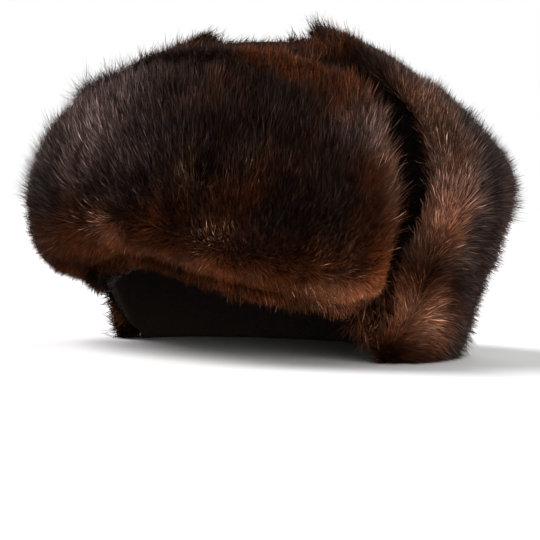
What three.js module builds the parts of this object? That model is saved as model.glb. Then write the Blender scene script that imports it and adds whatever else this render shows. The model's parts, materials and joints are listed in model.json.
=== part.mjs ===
// A fur hat with ear flaps, built with its flaps folded up and drawn together over the crown.
//
// Millimetres, +Z up. The front of the hat looks towards -Y and the wearer's left is +X.
// The hat stands on the folded rim of its ear and neck flaps, which is flat at Z = 0, and the
// origin lies on that plane, below the middle of the head opening.
//
// Every piece is drawn round one leaning axis. A point is given by its angle from the front,
// its height, and its spread: 1 is the outline of the hair tips at the widest level of the hat.

import * as THREE from 'three';
import { mergeVertices } from 'three/addons/utils/BufferGeometryUtils.js';

// Overall form
const HALF_WIDTH = 125;
const HALF_LENGTH = 152;
const AXIS_AT_RIM = 7.8; // where the axis meets the plane that the hat stands on
const AXIS_LEAN = -0.0875; // how far the axis moves forward for each millimetre of height

// Crown: a padded wall that is open below
const CROWN_WALL = 5;
const CROWN_COLUMNS = 44;
const CROWN_ROWS = 22;
const LINING_ROWS = 9;

// Fur
const HAIR_PAST_LOCKS = 3; // fine hair that stands past the locks
const LOCK_DEPTH = 5;
const LOCK_ROWS = 4; // rows from one lock's tip to the next one's in the same column
const TIP_REACH = 2.5; // how far a lock's tip runs on over the lock above it
const LOCK_VARIATION = 0.35; // how much shorter than the longest a lock may be, as a share
const CROWN_LOCK_DEPTH = 4;
const BARE_BELOW = 45; // the crown's wall has no fur under this height
const FULL_FUR_ABOVE = 105;
const SEAT = 0.7; // clearance between the crown and what is sewn to it

// Angles from the front, in degrees
const VISOR_SIDE = 70.5;
const FLAP_SEAM = 132; // where each ear flap meets the neck flap
const SEAM_HALF_GAP = 0.1;

// The crown's outside before its fur, from the rim up to its top.
const CROWN_PROFILE = [
  { spread: 0.69, height: 0 },
  { spread: 0.69, height: 40 },
  { spread: 0.69, height: 72 },
  { spread: 0.682, height: 97 },
  { spread: 0.64, height: 123 },
  { spread: 0.55, height: 142.5 },
  { spread: 0.42, height: 155.5 },
  { spread: 0.27, height: 162.5 },
  { spread: 0.12, height: 165.6 },
  { spread: 0, height: 166 },
];

// The crown's rim rises from the sides to the forehead.
const CROWN_RIM = [
  { angle: 0, height: 44 },
  { angle: 15, height: 39 },
  { angle: 35, height: 31 },
  { angle: 55, height: 26 },
  { angle: 68, height: 13 },
  { angle: 80, height: 3 },
  { angle: 95, height: 1.5 },
  { angle: 180, height: 1.5 },
];

// Outline of the folded ear and neck flaps, from the rim up to the tip over the crown.
const FLAP_PROFILE = [
  { spread: 0.75, height: 0 },
  { spread: 0.8, height: 5 },
  { spread: 0.85, height: 16 },
  { spread: 0.89, height: 33 },
  { spread: 0.94, height: 53 },
  { spread: 0.98, height: 73 },
  { spread: 1.015, height: 95 },
  { spread: 0.97, height: 117 },
  { spread: 0.862, height: 134 },
  { spread: 0.7, height: 149 },
  { spread: 0.535, height: 161 },
  { spread: 0.42, height: 171 },
  { spread: 0.31, height: 177.5 },
  { spread: 0.19, height: 172 },
];

// Share of that outline that the flaps cover at each angle: all of it at the tip of an ear flap,
// and least at the middle of the neck flap.
const FLAP_REACH = [
  { angle: 70, share: 0.97 },
  { angle: 80, share: 1 },
  { angle: 92, share: 1 },
  { angle: 102, share: 0.955 },
  { angle: 116, share: 0.9 },
  { angle: 132, share: 0.82 },
  { angle: 150, share: 0.72 },
  { angle: 165, share: 0.665 },
  { angle: 180, share: 0.65 },
];

// The front edge of an ear flap, which bows back round the ear and comes forward below it.
const FLAP_FRONT = [
  { height: 0, angle: 69 },
  { height: 8, angle: 72 },
  { height: 20, angle: 77 },
  { height: 39, angle: 80 },
  { height: 60, angle: 83 },
  { height: 78, angle: 87 },
  { height: 104, angle: 92 },
  { height: 122, angle: 93 },
  { height: 138, angle: 91.5 },
  { height: 148, angle: 88.5 },
  { height: 157, angle: 84 },
  { height: 175, angle: 77 },
];

// The folded bottom of the flaps lies flat, and lifts a little under the visor's corners.
const FLAP_BOTTOM = [
  { angle: 66, height: 10 },
  { angle: 70, height: 6 },
  { angle: 73.5, height: 2 },
  { angle: 75.5, height: 0 },
  { angle: 180, height: 0 },
];

// Section of the visor's cushion of fur: how it bulges between its bottom and its top edge.
const VISOR_SECTION = [
  { spread: 0.75, rise: 0 },
  { spread: 0.885, rise: 0.02 },
  { spread: 0.955, rise: 0.1 },
  { spread: 0.995, rise: 0.27 },
  { spread: 1.005, rise: 0.45 },
  { spread: 0.985, rise: 0.62 },
  { spread: 0.935, rise: 0.78 },
  { spread: 0.85, rise: 0.92 },
  { spread: 0.75, rise: 1 },
];

// The visor's bottom is arched over the forehead, and its upper corners are round.
const VISOR_EDGES = [
  { angle: -70.5, bottom: 27, top: 117 },
  { angle: -66, bottom: 23, top: 132 },
  { angle: -50, bottom: 27, top: 144 },
  { angle: -32, bottom: 34.5, top: 150 },
  { angle: -12, bottom: 42, top: 156 },
  { angle: -2, bottom: 43, top: 159 },
  { angle: 11, bottom: 38, top: 160.5 },
  { angle: 32, bottom: 29.5, top: 160.5 },
  { angle: 50, bottom: 25, top: 157 },
  { angle: 60, bottom: 23.5, top: 152 },
  { angle: 66.5, bottom: 24, top: 142 },
  { angle: 70.5, bottom: 30, top: 123 },
];

// Grid of each pad, and how wide its edges are rounded
const VISOR_PAD = { columns: 38, rows: 16, sideRound: 24 };
const EAR_PAD = { columns: 19, rows: 24, frontRound: 17, topRound: 14 };
const NECK_PAD = { columns: 26, rows: 16, topRound: 16 };
const LEAST_FULLNESS = 0.22; // share of its thickness that a pad keeps at its very edge
const LEAST_BACKING = 0.4; // share of a pad's thickness that its locks never cut into
const CROWDING = 0.6; // how much closer the visor's columns stand at its two rounded ends
const EAR_CROWDING = 1.25; // the same for an ear flap's front edge, as a power

// The visor's top edge slants down towards the crown, and its section is drawn on this size.
const VISOR_TOP_SLANT = 4;
const SECTION_SPREAD = 140;
const SECTION_RISE = 120;

// The flaps lie over this share of the crown's profile, up to their tips.
const CROWN_SHARE_AT_TIP = 0.86;
const RIGHT_TIP_REACH = 0.97; // the right tip stops a little short of where the left one does

// The lace that holds the two tips together over the crown
const LACE = { width: 6, thickness: 1.8, y: -9.2, leftEnd: 30.4, rightEnd: -35.4, steps: 12 };
const LACE_END_HEIGHT = 167.9;
const LACE_MIDDLE_HEIGHT = 170.4;

const radians = THREE.MathUtils.degToRad;
const FUR_COLOUR = '#2a1a13';
const LACE_COLOUR = '#17110f';

// Reads one column of a table between its rows, with a smooth curve through them.
function read(rows, key, at, column) {
  let i = 0;
  while (i < rows.length - 2 && rows[i + 1][key] < at) i += 1;
  const before = rows[Math.max(i - 1, 0)];
  const from = rows[i];
  const to = rows[i + 1];
  const after = rows[Math.min(i + 2, rows.length - 1)];
  const span = to[key] - from[key];
  const t = THREE.MathUtils.clamp((at - from[key]) / span, 0, 1);
  const startSlope = ((to[column] - before[column]) / (to[key] - before[key])) * span;
  const endSlope = ((after[column] - from[column]) / (after[key] - from[key])) * span;
  const fromWeight = 2 * t ** 3 - 3 * t ** 2 + 1;
  const startWeight = t ** 3 - 2 * t ** 2 + t;
  const endWeight = t ** 3 - t ** 2;
  const level = fromWeight * from[column] + (1 - fromWeight) * to[column];
  return level + startWeight * startSlope + endWeight * endSlope;
}

// A point of the hat from its angle in degrees, its spread and its height.
function place(angle, spread, height) {
  const turn = radians(angle);
  const axisY = AXIS_AT_RIM + AXIS_LEAN * height;
  const x = spread * HALF_WIDTH * Math.sin(turn);
  const y = axisY - spread * HALF_LENGTH * Math.cos(turn);
  return new THREE.Vector3(x, y, height);
}

// A profile table as a curve across the section, in millimetres from the axis and up.
function profileCurve(rows) {
  const points = rows.map((row) => new THREE.Vector2(row.spread * HALF_WIDTH, row.height));
  return new THREE.SplineCurve(points);
}

const crownCurve = profileCurve(CROWN_PROFILE);
const flapCurve = profileCurve(FLAP_PROFILE);

// The point at a share of a curve's length, moved outwards from the curve by a distance.
function offsetPoint(curve, share, distance) {
  const point = curve.getPointAt(share);
  const along = curve.getTangentAt(share);
  return new THREE.Vector2(point.x + along.y * distance, point.y - along.x * distance);
}

// How deep the crown's fur is at a height: none low down, where the flaps and visor are sewn on.
function crownFur(height) {
  return CROWN_LOCK_DEPTH * THREE.MathUtils.smoothstep(height, BARE_BELOW, FULL_FUR_ABOVE);
}

// A share from 0 to 1 that looks random and is the same for the same two numbers.
function scatter(first, second) {
  const value = Math.sin(first * 12.9898 + second * 78.233) * 43758.5453;
  return value - Math.floor(value);
}

// Locks in rows: each column rises to a tip and drops, and its neighbours' tips lie between.
function lockHeight(column, row) {
  const staggered = row + (column % 2) * (LOCK_ROWS / 2);
  const step = staggered % LOCK_ROWS;
  const lock = Math.floor(staggered / LOCK_ROWS);
  const size = 1 - LOCK_VARIATION * scatter(column, lock);
  return (size * step) / (LOCK_ROWS - 1);
}

// How full a pad is at a distance from its edge, as a quarter round.
function fullness(distance, width) {
  const share = THREE.MathUtils.clamp(distance / width, 0, 1);
  return LEAST_FULLNESS + (1 - LEAST_FULLNESS) * Math.sqrt(1 - (1 - share) ** 2);
}

// Keeps only a geometry's positions, so that the points its faces share can be merged.
function bare(geometry) {
  geometry.deleteAttribute('normal');
  geometry.deleteAttribute('uv');
  return geometry;
}

// Merges shared points, leaves out the faces that closed up, and turns the rest outwards.
function closedGeometry(geometry) {
  const merged = mergeVertices(geometry, 1e-3);
  const position = merged.attributes.position;
  const index = merged.index.array;
  const corner = (i) => new THREE.Vector3().fromBufferAttribute(position, i);
  const faces = [];
  let volume = 0;
  for (let i = 0; i < index.length; i += 3) {
    const face = [index[i], index[i + 1], index[i + 2]];
    if (new Set(face).size < 3) continue;
    faces.push(...face);
    volume += corner(face[0]).dot(corner(face[1]).cross(corner(face[2])));
  }
  if (volume < 0) faces.reverse();
  merged.setIndex(faces);
  merged.computeVertexNormals();
  return merged;
}

function piece(name, geometry, color, roughness) {
  const material = new THREE.MeshStandardMaterial({ color, roughness, metalness: 0 });
  const mesh = new THREE.Mesh(closedGeometry(geometry), material);
  mesh.name = name;
  return mesh;
}

// A pad bent round the crown: a box whose shape gives an inner and an outer point for each place
// on it, with locks pressed into the outer face.
function bentPad(columns, rows, shape, firstColumn) {
  const geometry = bare(new THREE.BoxGeometry(1, 1, 1, columns, rows, 1));
  const position = geometry.attributes.position;
  for (let i = 0; i < position.count; i += 1) {
    const across = position.getX(i) + 0.5;
    const up = position.getY(i) + 0.5;
    const { inner, outer } = shape(across, up);
    const point = inner.clone();
    if (position.getZ(i) > 0) {
      const row = Math.round(up * rows);
      const lock = lockHeight(Math.round(across * columns) + firstColumn, row);
      const through = outer.clone().sub(inner);
      const thickness = through.length();
      const inset = HAIR_PAST_LOCKS + LOCK_DEPTH * (1 - lock);
      const kept = Math.max(thickness - inset, thickness * LEAST_BACKING);
      point.addScaledVector(through, kept / thickness);
      if (row > 0) point.z += TIP_REACH * lock ** 2;
    }
    position.setXYZ(i, point.x, point.y, point.z);
  }
  return geometry;
}

// The crown is a dome wall, open below, with short locks on its outside.
function crown() {
  const profile = [];
  const levels = [];
  for (let row = LINING_ROWS; row >= 0; row -= 1) {
    profile.push(offsetPoint(crownCurve, row / LINING_ROWS, -CROWN_WALL));
    levels.push(crownCurve.getPointAt(row / LINING_ROWS).y);
  }
  for (let row = 0; row <= CROWN_ROWS; row += 1) {
    profile.push(crownCurve.getPointAt(row / CROWN_ROWS));
    levels.push(crownCurve.getPointAt(row / CROWN_ROWS).y);
  }
  profile.at(0).x = 0;
  profile.at(-1).x = 0;
  const geometry = bare(new THREE.LatheGeometry(profile, CROWN_COLUMNS));
  const position = geometry.attributes.position;
  const top = CROWN_PROFILE.at(-1).height;
  for (let i = 0; i < position.count; i += 1) {
    const column = Math.floor(i / profile.length);
    const along = i % profile.length;
    const row = along - (LINING_ROWS + 1);
    const angle = (360 * column) / CROWN_COLUMNS;
    const rim = read(CROWN_RIM, 'angle', Math.min(angle, 360 - angle), 'height');
    const spot = profile[along].clone();
    spot.y += rim * (1 - levels[along] / top);
    if (row > 0 && row < CROWN_ROWS) {
      const fur = crownFur(spot.y) * lockHeight(column % CROWN_COLUMNS, row);
      const upwards = crownCurve.getTangentAt(row / CROWN_ROWS);
      spot.x += upwards.y * fur;
      spot.y -= upwards.x * fur;
    }
    const point = place(angle, spot.x / HALF_WIDTH, spot.y);
    position.setXYZ(i, point.x, point.y, point.z);
  }
  return piece('crown', geometry, FUR_COLOUR, 0.95);
}

// One place on an ear or neck flap. Its inside lies on the crown's wall at the rim and on the
// crown's fur above, and its upper edge is rounded.
function flapPlace(up, reach, angleAt, topRound) {
  const share = up * reach;
  const outside = flapCurve.getPointAt(share);
  const crownShare = share * CROWN_SHARE_AT_TIP;
  const fur = crownFur(crownCurve.getPointAt(crownShare).y);
  const inside = offsetPoint(crownCurve, crownShare, SEAT + fur);
  const angle = angleAt(outside.y);
  const fromFront = Math.min(Math.abs(angle), 360 - Math.abs(angle));
  const lift = Math.max(read(FLAP_BOTTOM, 'angle', fromFront, 'height'), 0) * (1 - up);
  const inner = place(angle, inside.x / HALF_WIDTH, inside.y + lift);
  const outer = place(angle, outside.x / HALF_WIDTH, outside.y + lift);
  const toTop = (1 - up) * reach * flapCurve.getLength();
  outer.lerpVectors(inner, outer, fullness(toTop, topRound));
  return { inner, outer };
}

function flapReach(angle) {
  return Math.min(read(FLAP_REACH, 'angle', angle, 'share'), 1);
}

// An ear flap runs from its front edge beside the temple back to the neck flap.
function earFlap(name, side, tipReach) {
  const { columns, rows, frontRound, topRound } = EAR_PAD;
  const back = FLAP_SEAM - SEAM_HALF_GAP;
  const tip = FLAP_FRONT.at(-1).angle;
  const arc = radians(back - tip) * (HALF_WIDTH + HALF_LENGTH) * 0.5;
  const shape = (across, up) => {
    const fromFront = (side > 0 ? across : 1 - across) ** EAR_CROWDING;
    const angleAt = (height) => {
      const front = read(FLAP_FRONT, 'height', height, 'angle');
      return side * THREE.MathUtils.lerp(front, back, fromFront);
    };
    const reach = flapReach(THREE.MathUtils.lerp(tip, back, fromFront));
    const shortened = reach * THREE.MathUtils.lerp(tipReach, 1, fromFront);
    const { inner, outer } = flapPlace(up, shortened, angleAt, topRound);
    outer.lerpVectors(inner, outer, fullness(fromFront * arc, frontRound));
    return { inner, outer };
  };
  const firstColumn = side > 0 ? 0 : 1;
  return piece(name, bentPad(columns, rows, shape, firstColumn), FUR_COLOUR, 0.9);
}

// The neck flap closes the ring of flaps at the back.
function neckFlap() {
  const { columns, rows, topRound } = NECK_PAD;
  const start = FLAP_SEAM + SEAM_HALF_GAP;
  const shape = (across, up) => {
    const angle = THREE.MathUtils.lerp(start, 360 - start, across);
    const fromFront = Math.min(angle, 360 - angle);
    return flapPlace(up, flapReach(fromFront), () => angle, topRound);
  };
  return piece('neck_flap', bentPad(columns, rows, shape, 0), FUR_COLOUR, 0.9);
}

// The visor is a cushion of fur folded up in front of the crown.
function visor() {
  const { columns, rows, sideRound } = VISOR_PAD;
  const section = VISOR_SECTION.map(
    (row) => new THREE.Vector2(row.spread * SECTION_SPREAD, row.rise * SECTION_RISE),
  );
  const curve = new THREE.SplineCurve(section);
  const arc = radians(2 * VISOR_SIDE) * (HALF_WIDTH + HALF_LENGTH) * 0.5;
  const wall = CROWN_PROFILE[0].spread * HALF_WIDTH;
  const shape = (across, up) => {
    const spaced = across - (CROWDING * Math.sin(2 * Math.PI * across)) / (2 * Math.PI);
    const angle = THREE.MathUtils.lerp(-VISOR_SIDE, VISOR_SIDE, spaced);
    const bottom = read(VISOR_EDGES, 'angle', angle, 'bottom');
    const top = read(VISOR_EDGES, 'angle', angle, 'top');
    const innerHeight = THREE.MathUtils.lerp(bottom, top - VISOR_TOP_SLANT, up);
    const innerSpread = (wall + SEAT + crownFur(innerHeight)) / HALF_WIDTH;
    const inner = place(angle, innerSpread, innerHeight);
    const spot = curve.getPointAt(up);
    const outerHeight = THREE.MathUtils.lerp(bottom, top, spot.y / SECTION_RISE);
    const outer = place(angle, spot.x / SECTION_SPREAD, outerHeight);
    const toSide = Math.min(spaced, 1 - spaced) * arc;
    outer.lerpVectors(inner, outer, fullness(toSide, sideRound));
    return { inner, outer };
  };
  return piece('visor', bentPad(columns, rows, shape, 0), FUR_COLOUR, 0.9);
}

// A flat lace lies on the crown's fur from the tip of one ear flap to the tip of the other.
function tieLace() {
  const { width, thickness, y, leftEnd, rightEnd, steps } = LACE;
  const section = new THREE.Shape();
  section.absellipse(0, 0, width / 2, thickness / 2, 0, 2 * Math.PI, false, 0);
  const middle = (leftEnd + rightEnd) / 2;
  const path = new THREE.QuadraticBezierCurve3(
    new THREE.Vector3(leftEnd, y, LACE_END_HEIGHT),
    new THREE.Vector3(middle, y, 2 * LACE_MIDDLE_HEIGHT - LACE_END_HEIGHT),
    new THREE.Vector3(rightEnd, y, LACE_END_HEIGHT),
  );
  const settings = { extrudePath: path, steps, curveSegments: 10, bevelEnabled: false };
  const geometry = bare(new THREE.ExtrudeGeometry(section, settings));
  return piece('tie_lace', geometry, LACE_COLOUR, 0.7);
}

const hat = new THREE.Group();
hat.name = 'fur_hat';
hat.add(crown());
hat.add(visor());
hat.add(earFlap('left_ear_flap', 1, 1));
hat.add(earFlap('right_ear_flap', -1, RIGHT_TIP_REACH));
hat.add(neckFlap());
hat.add(tieLace());

// The origin is the middle of the hat's outline, on the surface that it rests on.
const outline = new THREE.Box3().setFromObject(hat, true);
const middle = outline.getCenter(new THREE.Vector3());
for (const mesh of hat.children) {
  mesh.geometry.translate(-middle.x, -middle.y, -outline.min.z);
}

export default hat;
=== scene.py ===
"""Looks for a fur hat with its flaps folded up: smooth pads with fur grown on them hair by hair."""

import json
import math

import bpy
import numpy as np
from mathutils import Matrix, Vector
from mathutils.bvhtree import BVHTree

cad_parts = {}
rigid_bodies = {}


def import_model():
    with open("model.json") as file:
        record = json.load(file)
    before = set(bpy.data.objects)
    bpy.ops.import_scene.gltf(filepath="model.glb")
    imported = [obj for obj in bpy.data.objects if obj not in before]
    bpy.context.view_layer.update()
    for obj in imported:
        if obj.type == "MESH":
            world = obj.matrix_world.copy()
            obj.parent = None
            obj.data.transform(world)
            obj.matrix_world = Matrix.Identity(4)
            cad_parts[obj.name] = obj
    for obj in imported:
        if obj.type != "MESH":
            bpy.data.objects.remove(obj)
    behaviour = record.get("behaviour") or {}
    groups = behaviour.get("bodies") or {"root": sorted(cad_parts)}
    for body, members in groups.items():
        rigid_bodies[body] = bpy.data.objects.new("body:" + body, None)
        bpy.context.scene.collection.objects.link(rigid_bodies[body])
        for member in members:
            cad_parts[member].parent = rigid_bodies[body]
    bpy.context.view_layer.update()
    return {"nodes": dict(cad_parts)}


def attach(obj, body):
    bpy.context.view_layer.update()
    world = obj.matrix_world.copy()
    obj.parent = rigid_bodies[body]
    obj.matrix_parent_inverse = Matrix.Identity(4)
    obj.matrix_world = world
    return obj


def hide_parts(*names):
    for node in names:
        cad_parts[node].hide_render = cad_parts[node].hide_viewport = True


for leftover in list(bpy.data.objects):
    bpy.data.objects.remove(leftover)
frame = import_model()

MM = 0.001

# The camera looks almost level at the hat from its left front, and is rolled by a few degrees.
CAMERA_AT = (641.5 * MM, -940.2 * MM, 78.0 * MM)
CAMERA_LOOKS_AT = (-0.9 * MM, -0.2 * MM, 43.7 * MM)
CAMERA_ROLL = 2.8
LENS = 138.0
SENSOR = 36.0
NEAREST_SEEN = 10 * MM

# Soft lights far away, each by where it comes from, its strength, its colour and how wide it looks in degrees
LIGHTS = {
    "left_light": {"side": (-0.6, -0.5, 0.85), "strength": 5.0, "width": 45, "colour": (1.0, 0.97, 0.98)},
    "right_light": {"side": (0.95, -0.3, 0.45), "strength": 0.85, "width": 45, "colour": (1.0, 0.97, 0.95)},
    "front_light": {"side": (0.6, -0.8, 0.1), "strength": 2.1, "width": 60, "colour": (1.0, 0.98, 0.96)},
    "back_light": {"side": (0.0, 0.8, 0.8), "strength": 2.2, "width": 60, "colour": (1.0, 1.0, 1.0)},
}
SURROUND_LIGHT = 0.22
FLOOR_SIZE = 60.0
FLOOR_WHITE = 0.68

# The hat's leaning axis and its seams, as in its solids. A hat angle is in degrees round this axis from the
# front, positive towards the wearer's left.
AXIS_AT_RIM = 7.8 * MM
AXIS_LEAN = -0.0875
HALF_WIDTH = 125 * MM
HALF_LENGTH = 152 * MM
MM_PER_DEGREE = 2.4  # along the hat's side
VISOR_SIDE = 70.5
FLAP_SEAM = 132.0
HOLLOW_CENTRE = (0.0, 0.0, 60 * MM)

# The flaps' front edge by height in millimetres, and the height of the visor's hem, both with hat angles
FLAP_FRONT_HEIGHTS = [0, 8, 20, 39, 60, 78, 104, 122, 138, 148, 157, 175]
FLAP_FRONT_ANGLES = [69, 72, 77, 80, 83, 87, 92, 93, 91.5, 88.5, 84, 77]
HEM_ANGLES = [-70.5, -66, -50, -32, -12, -2, 11, 32, 50, 60, 66.5, 70.5]
HEM_HEIGHTS = [27, 23, 27, 34.5, 42, 43, 38, 29.5, 25, 23.5, 24, 30]

# Below, a name for two numbers is a range: where something begins, and where it is full. Heights are in
# millimetres above the floor or the visor's hem. Angles are in degrees from the front, and a flap's edge, tip
# width and bands are in degrees behind its front edge.
VISOR_END = (54, 64)
AT_HEM = (30, 5)
FLAP_EDGE = (9, 2)
FOREMOST = (5, 1)

# The pads: how they are remeshed, and how far their skin lies under the fur's surface
COAT_DEPTH = 7.5 * MM
CROWN_COAT_DEPTH = 2.5 * MM
THICK_PAD = {"voxel": 3.0 * MM, "rounds": 14, "kept": 0.5, "depth": COAT_DEPTH}
THIN_PAD = {"voxel": 2.2 * MM, "rounds": 10, "kept": 0.25, "depth": CROWN_COAT_DEPTH}
SAME_POINT_WITHIN = 0.01 * MM
ROUNDS_AFTER_SINKING = 4
THICKEST = 60 * MM
MOST_OF_THICKNESS = 0.32
JUST_UNDER_SKIN = 0.5 * MM
NEAR_FLOOR = (30 * MM, 4 * MM)
ALMOST_ON_FLOOR = 4 * MM
TOWARDS_FLOOR = -0.3  # the upward part of a normal
VISOR_DEPTH_HEIGHTS = [60, 85, 110, 135, 150]
VISOR_DEPTH_SHARES = [0.2, 0.45, 0.9, 1.35, 1.4]
VISOR_END_SINKS_LESS = 0.85
HEM_DEPTH_SHARE = 1.2
TURNED_DOWN = (0.1, 0.7)  # the downward part of a normal
TIP_HEIGHTS = (146, 156)
TIP_WIDTH = (20, 8)
EDGE_SINKS_LESS = 0.5
FLAP_SIDE_ANGLES = (100, 114)
FLAP_SIDE_FOOT = (20, 80)
FLAP_SIDE_TOP = (130, 100)
SIDE_SINKS_LESS = 0.6
GROWN_TIP_HEIGHTS = (150, 160)
LEFT_TIP_GROWS = 1.8
RIGHT_TIP_GROWS = 0.6
RIM_DROP_ANGLES = [-75, -45, -25, -8, 8, 20, 40, 58]  # the visor's rim lies lower on the wearer's right
RIM_DROP = [5, 8, 8, 4, -1, -3, -3, 0]
RIM_TILT_HEIGHTS = (95, 150)
CROWN_TOP_DROP = 3 * MM  # the crown's top lies lower than its solid's, to let the tips stand out
CROWN_TOP_HEIGHTS = (150 * MM, 164 * MM)
BETWEEN_TIPS = (55 * MM, 20 * MM)
LACE_PRESSED = 3 * MM
LACE_ROUNDING = 0.4 * MM

# Where no fur grows: on what lies on the floor, under the crown's wall, and where another piece covers it
ON_FLOOR = 2 * MM
FLAT_ON_FLOOR = -0.8  # the upward part of a normal, as below
UNDER_WALL = -0.6
UNDER_WALL_HEIGHT = 50 * MM
COVERED_WITHIN = 17 * MM
OFF_SKIN = 0.8 * MM
FLOOR_CLEARANCE = 0.3 * MM  # fur that reaches the floor bends along it at this height

# Small whorls where the fur parts, by hat angle, height and size in millimetres, and how far they turn it
WHORLS = [
    {"angle": 1, "height": 66, "size": 7, "turn": 0.85},
    {"angle": 34, "height": 48, "size": 7, "turn": 0.8},
    {"angle": 23, "height": 87, "size": 5, "turn": 0.6},
    {"angle": 82, "height": 38, "size": 14, "turn": 0.45},
    {"angle": 84, "height": 166, "size": 24, "turn": 0.8},
    {"angle": -84, "height": 166, "size": 24, "turn": 0.8},
]

# Patches of colour at hat angles, with their height, half width and half height in millimetres. Strands and
# pale patches are paler fur, frost patches are frosted grey tips with a painted sheen, bright patches are
# painted light with some paler fur, and dark patches are painted shade with some darker fur.
PATCHES = {
    "strands": [
        {"angle": -4, "height": 67, "wide": 12, "tall": 5, "share": 0.5},
        {"angle": 21, "height": 86, "wide": 6, "tall": 4, "share": 0.4},
        {"angle": 32, "height": 93, "wide": 6, "tall": 4, "share": 0.25},
        {"angle": 26, "height": 62, "wide": 10, "tall": 4, "share": 0.4},
    ],
    "pale": [
        {"angle": 67, "height": 95, "wide": 8, "tall": 28, "share": 0.4},
        {"angle": 84, "height": 24, "wide": 22, "tall": 13, "share": 0.4},
        {"angle": 56, "height": 36, "wide": 36, "tall": 8, "share": 0.3},
        {"angle": 91, "height": 62, "wide": 10, "tall": 10, "share": 0.25},
    ],
    # Frost patches: frosted grey tips, and a painted sheen where the fur catches the lights
    "frost_and_sheen": [
        {"angle": -8, "height": 112, "wide": 42, "tall": 26, "share": 0.95},
        {"angle": 62, "height": 113, "wide": 14, "tall": 12, "share": 0.7},
        {"angle": 102, "height": 100, "wide": 24, "tall": 40, "share": 0.4},
        {"angle": -104, "height": 100, "wide": 30, "tall": 40, "share": 0.5},
        {"angle": 165, "height": 75, "wide": 50, "tall": 30, "share": 0.4},
        {"angle": -160, "height": 60, "wide": 40, "tall": 35, "share": 0.45},
    ],
    # Bright patches: painted light where the fur looks lit, with some paler fur at the whorl and the flap's
    # tip
    "bright": [
        {"angle": 58, "height": 43, "wide": 38, "tall": 18, "share": 1.5},
        {"angle": 28, "height": 50, "wide": 32, "tall": 16, "share": 1.4},
        {"angle": -2, "height": 68, "wide": 16, "tall": 9, "share": 0.5},
        {"angle": 48, "height": 152, "wide": 50, "tall": 12, "share": 0.9},
        {"angle": 83, "height": 26, "wide": 26, "tall": 15, "share": 1.7},
        {"angle": 79, "height": 172, "wide": 24, "tall": 12, "share": 0.6},
        {"angle": 90, "height": 105, "wide": 10, "tall": 45, "share": 2.4},
    ],
    # Dark patches: painted shade, with some darker fur
    "dark": [
        {"angle": 104, "height": 98, "wide": 21, "tall": 44, "share": 0.75},
        {"angle": 33, "height": 48, "wide": 10, "tall": 8, "share": 0.4},
        {"angle": 95, "height": 42, "wide": 24, "tall": 14, "share": 0.7},
        {"angle": 112, "height": 40, "wide": 30, "tall": 30, "share": 0.6},
        {"angle": 118, "height": 125, "wide": 22, "tall": 40, "share": 0.5},
        {"angle": 96, "height": 150, "wide": 16, "tall": 16, "share": 0.5},
        {"angle": 22, "height": 110, "wide": 26, "tall": 30, "share": 0.4},
        {"angle": 8, "height": 50, "wide": 26, "tall": 11, "share": 0.5},
        {"angle": 20, "height": 72, "wide": 22, "tall": 10, "share": 0.4},
        {"angle": -34, "height": 39, "wide": 46, "tall": 13, "share": 0.95},
    ],
}

# On the crown: its low corners between the visor's ends and the flaps, the fur beside the flaps' tips, and
# the lace. Back is along +Y, and aside is to both sides of the middle. Both are in millimetres, and so is how
# far from the lace it is hidden.
CORNER_HEIGHTS = (52, 38)
CORNER_ANGLES = (58, 66)
TIP_FUR_BACK = -24
TIP_FUR_ASIDE = 52
TIP_FUR_SIZE = 20
TIP_FUR_HEIGHTS = (144, 154)
LACE_BACK = -9
LACE_HIDDEN = (22, 12)

# The direction that the fur is combed in, as degrees from upright towards the wearer's left
VISOR_ANGLES = [-70, -30, 0, 30, 50, 66, 72]
VISOR_COMB = [-12, -2, 2, 0, -5, 0, 10]
HEM_PARTING = 25  # the hat angle where the fur above the hem parts to both sides
PARTING_WANDERS = 10
HEM_TURN = 165
HEM_TURN_HEIGHTS = (30, 8)
FLAP_PAST_FRONT = [0, 4, 10, 25]
FLAP_COMB = [0, 8, 40, 64]
FLAP_COMB_HEIGHTS = [5, 30, 60, 80, 100, 130, 160]
FLAP_COMB_SHARES = [2.3, 1.7, 1.6, 1.35, 1.0, 0.85, 0.65]
BACK_ANGLES = [132, 160, 180]
BACK_SHARES = [1.0, 0.5, 0.0]
CORNER_COMB = 130
LEVEL_SURFACE = (0.75, 0.97)  # the upward part of a normal
WANDER_SIZE = 26 * MM
WAVE_SIZE = 9 * MM
WAVE_TURN = 7
MESSY_LOW = 1.5
MESSY_HEIGHTS = (40, 15)

# How long the hairs are by place, as shares of a coat's full length, and how they stand and gather.
# Lifts are in degrees.
VISOR_END_HEIGHTS = [50, 75, 125, 145]
VISOR_END_LENGTHS = [0.5, 1.1, 1.1, 0.6]
LONG_END = (58, 64)
RIM_SHORTER = 0.3
RIM_HEIGHTS = (132, 148)
LOW_HEIGHTS = (45, 20)
CROWN_TOP_SHORTER = 0.3
CROWN_TOP_FUR = (150, 162)
CORNER_LONGER = 0.2
BESIDE_TIP_LONGER = 0.5
FLAP_TOP_SHORTER = 0.55
FLAP_TOP_HEIGHTS = (138, 150)
TIP_KEEPS = 0.9
LENGTH_VARIES = 0.15
LENGTH_PATCH = 12 * MM
LOW_LIFT = 10
LOW_LIFT_HEIGHTS = (70, 30)
FAR_SIDE_LIFT = 16
FAR_SIDE_ANGLES = (-15, -40)
LIFT_VARIES = 8
LIFT_PATCH = 14 * MM
FLATTEST = 4
STEEPEST = 80
SMALL_TUFT = 3.0 * MM
LARGE_TUFT = 8.0 * MM
LARGE_TUFT_PULL = 0.4
TUFTY_HEIGHTS = (60, 20)
TUFTY_ANGLES = (-40, -15)
TUFT_WARP_SIZE = 2.5
TUFT_WARP = 0.5
KNEE_FOLLOWS_TIP = 0.12
KNEE_JITTER = 0.3
ROOT_DEPTH = 0.5 * MM
MOST_ROLL = 1.0  # of a blade about its length, in radians
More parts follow.
